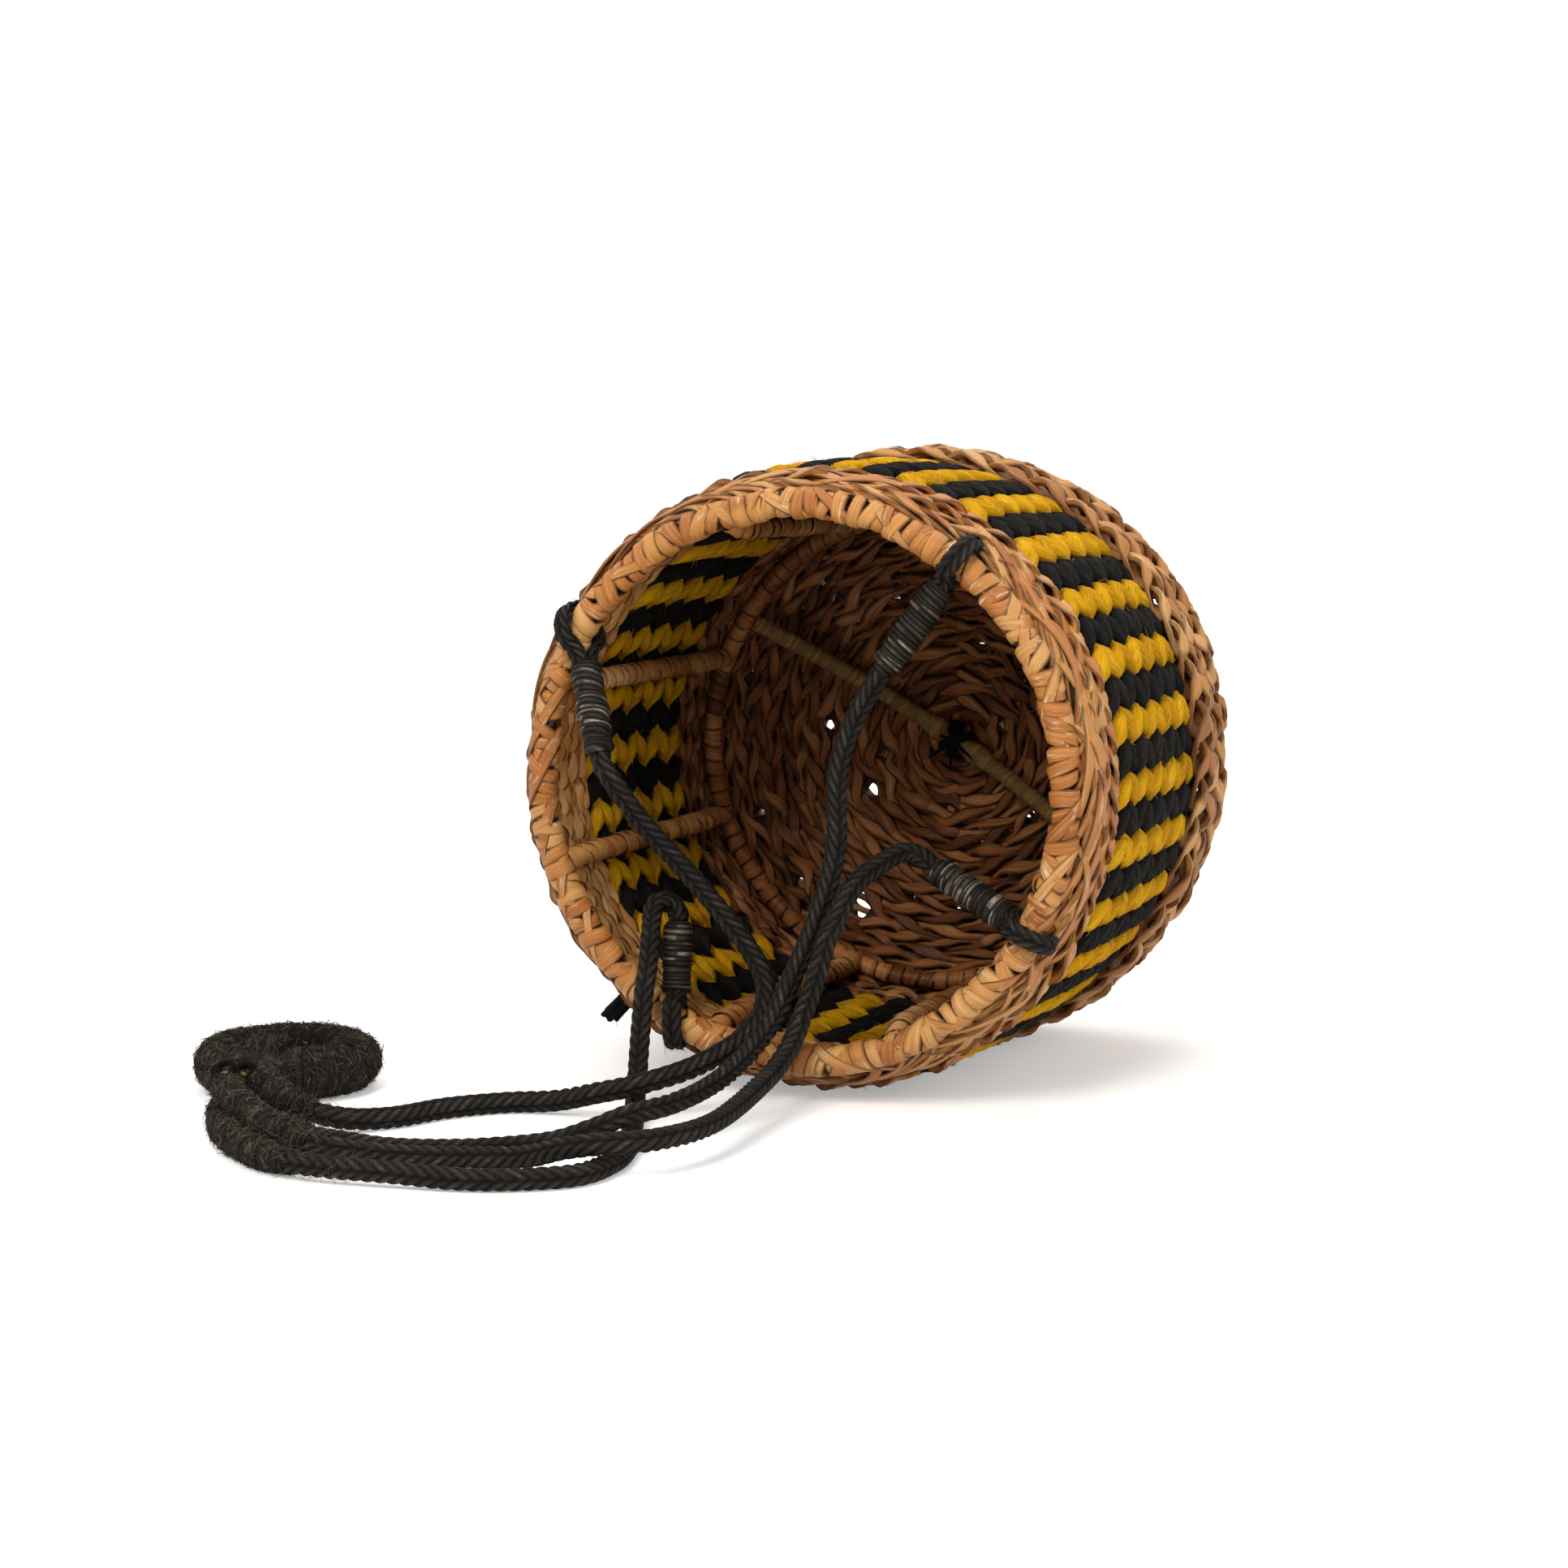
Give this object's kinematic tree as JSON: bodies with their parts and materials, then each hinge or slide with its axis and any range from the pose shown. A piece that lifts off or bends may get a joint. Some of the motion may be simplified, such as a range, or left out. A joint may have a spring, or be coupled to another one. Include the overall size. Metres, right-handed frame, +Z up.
{
  "type": "hanging planter basket",
  "caption": "Round woven hanging basket with a domed base, lying on its side, its braided cords running to a yarn wrapped hanging ring.",
  "frame": {"origin": "point of the yarn band that rests on the floor, straight below the basket's axis at 70 mm from the rim plane", "axes": "+Z is up; the basket's axis is horizontal and runs from the mouth to the base 21.4 degrees from +Y towards +X, so the mouth faces -Y; +X is to the right when looking into the mouth"},
  "size_m": [0.3685, 0.3307, 0.2209],
  "materials": {
    "steel_wire": "dull drawn wire",
    "seagrass_ribbon": "dried seagrass leaf, satin",
    "seagrass_weave": "twisted dried seagrass, matte",
    "yarn_band": "mustard and black wool yarn, matte",
    "khaki_thread": "waxed thread winding",
    "black_yarn": "black wool yarn, matte",
    "black_cord": "black braided cord, matte",
    "whipping_thread": "dark thread whipping, matte",
    "ring_yarn": "fuzzy black yarn, matte",
    "ring_core": "dry grass bundle, matte"
  },
  "bodies": {
    "basket": {"wire_frame": "steel_wire", "rim_wrap": "seagrass_ribbon", "lower_hoop_wrap": "seagrass_ribbon", "stake_wrap_1": "seagrass_ribbon", "stake_wrap_2": "seagrass_ribbon", "stake_wrap_3": "seagrass_ribbon", "stake_wrap_4": "seagrass_ribbon", "stake_wrap_5": "seagrass_ribbon", "stake_wrap_6": "seagrass_ribbon", "stake_wrap_7": "seagrass_ribbon", "stake_wrap_8": "seagrass_ribbon", "border_weave": "seagrass_weave", "yarn_band": "yarn_band", "base_weave": "seagrass_weave", "rod_winding": "khaki_thread", "rod_core": "steel_wire", "base_tie": "black_yarn", "yarn_tuft": "black_yarn", "cord_upper_left": "black_cord", "cord_upper_right": "black_cord", "cord_lower_right": "black_cord", "cord_lower_left": "black_cord", "end_wrap_upper_left": "ring_yarn", "end_wrap_upper_right": "ring_yarn", "end_wrap_lower_right": "ring_yarn", "end_wrap_lower_left": "ring_yarn", "ring_lashing": "ring_yarn", "ring_arch": "ring_yarn"},
    "leg_upper_left": {"cord_loop_upper_left": "black_cord", "whipping_upper_left": "whipping_thread"},
    "leg_upper_right": {"cord_loop_upper_right": "black_cord", "whipping_upper_right": "whipping_thread"},
    "leg_lower_right": {"cord_loop_lower_right": "black_cord", "whipping_lower_right": "whipping_thread"},
    "leg_lower_left": {"cord_loop_lower_left": "black_cord", "whipping_lower_left": "whipping_thread"},
    "hanging_ring": {"ring_wrap": "ring_yarn", "ring_core": "ring_core"}
  },
  "joints": [
    {"name": "leg_upper_left_swing", "type": "hinge", "parent": "basket", "child": "leg_upper_left", "pos_m": [-0.10096, -0.03562, 0.15984], "axis": [-0.4865, 0.1906, -0.8526], "range_deg": [-45, 70], "deforming": ["cord_upper_left"]},
    {"name": "leg_upper_right_swing", "type": "hinge", "parent": "basket", "child": "leg_upper_right", "pos_m": [0.02769, -0.08604, 0.18607], "axis": [-0.7436, 0.2914, 0.6018], "range_deg": [-45, 90], "deforming": ["cord_upper_right"]},
    {"name": "leg_lower_right_swing", "type": "hinge", "parent": "basket", "child": "leg_lower_right", "pos_m": [0.05144, -0.09534, 0.06342], "axis": [0.4585, -0.1797, 0.8704], "range_deg": [-30, 105], "deforming": ["cord_lower_right"]},
    {"name": "leg_lower_left_swing", "type": "hinge", "parent": "basket", "child": "leg_lower_left", "pos_m": [-0.06775, -0.04863, 0.02671], "axis": [0.8182, -0.3207, -0.4772], "range_deg": [-30, 105], "deforming": ["cord_lower_left"]},
    {"name": "ring_lift", "type": "hinge", "parent": "basket", "child": "hanging_ring", "pos_m": [-0.20744, -0.06304, 0.0095], "axis": [0.989, -0.1478, 0], "range_deg": [0, 100]}
  ]
}
